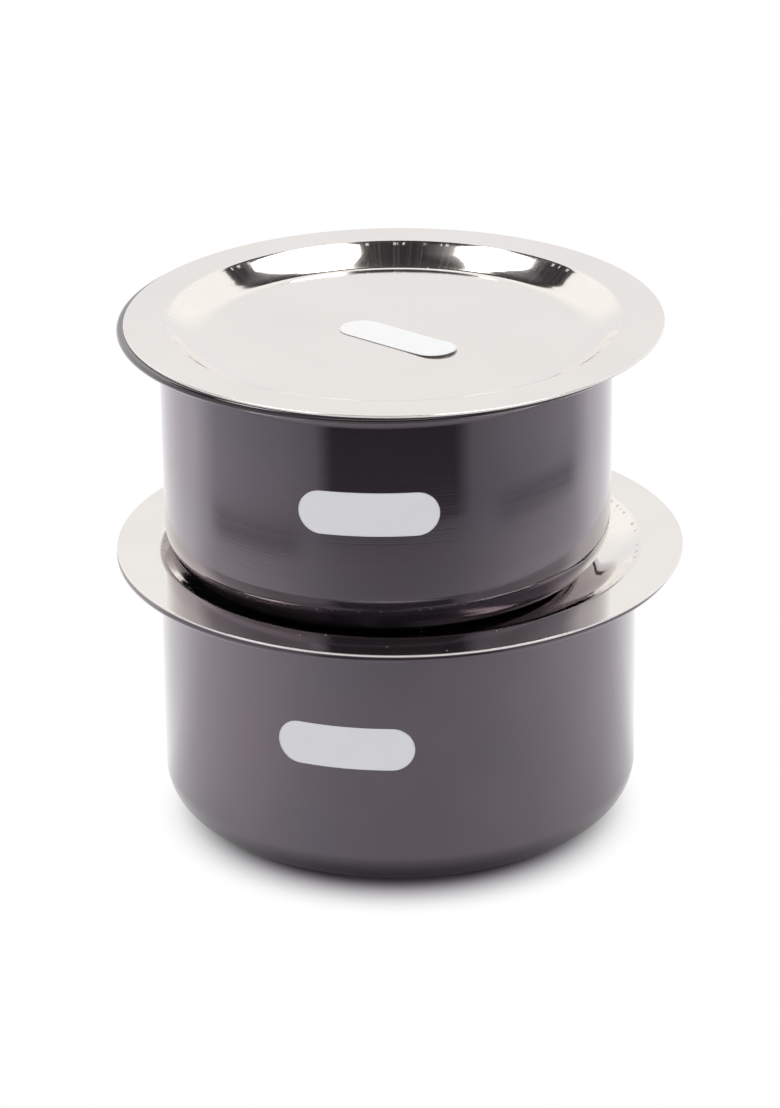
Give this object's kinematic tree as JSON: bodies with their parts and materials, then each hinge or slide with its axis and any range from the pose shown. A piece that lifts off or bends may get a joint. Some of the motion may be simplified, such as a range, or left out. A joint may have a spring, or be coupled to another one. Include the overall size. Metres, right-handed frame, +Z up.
{
  "type": "stacked cooking pots with lids",
  "caption": "Flat-bottomed anodised cooking pots with out-turned rims, stacked, each closed by a pressed steel lid whose sunk well takes the foot of the pot above; all lift apart by hand.",
  "frame": {"origin": "centre of the lower pot's base, on the surface that it stands on", "axes": "+Z up along the lower pot's axis; -Y is the front, where the wall stickers are; +X to the right seen from the front"},
  "size_m": [0.202, 0.2018, 0.1823],
  "materials": {
    "anodised_pot": "hard anodised, satin, plum grey",
    "polished_lid": "bright polished",
    "label_paper": "coated, white"
  },
  "bodies": {
    "lower_pot": {"lower_pot": "anodised_pot", "lower_pot_label": "label_paper"},
    "lower_lid": {"lower_lid": "polished_lid"},
    "upper_pot": {"upper_pot": "anodised_pot", "upper_pot_label": "label_paper"},
    "upper_lid": {"upper_lid": "polished_lid", "upper_lid_label": "label_paper"}
  },
  "joints": [
    {"name": "lower_lid_lift", "type": "slide", "parent": "lower_pot", "child": "lower_lid", "axis": [0, 0, 1], "range_m": [0, 0.15]},
    {"name": "upper_pot_lift", "type": "slide", "parent": "lower_lid", "child": "upper_pot", "axis": [0, 0, 1], "range_m": [0, 0.15]},
    {"name": "upper_lid_lift", "type": "slide", "parent": "upper_pot", "child": "upper_lid", "axis": [0, 0, 1], "range_m": [0, 0.15]}
  ]
}
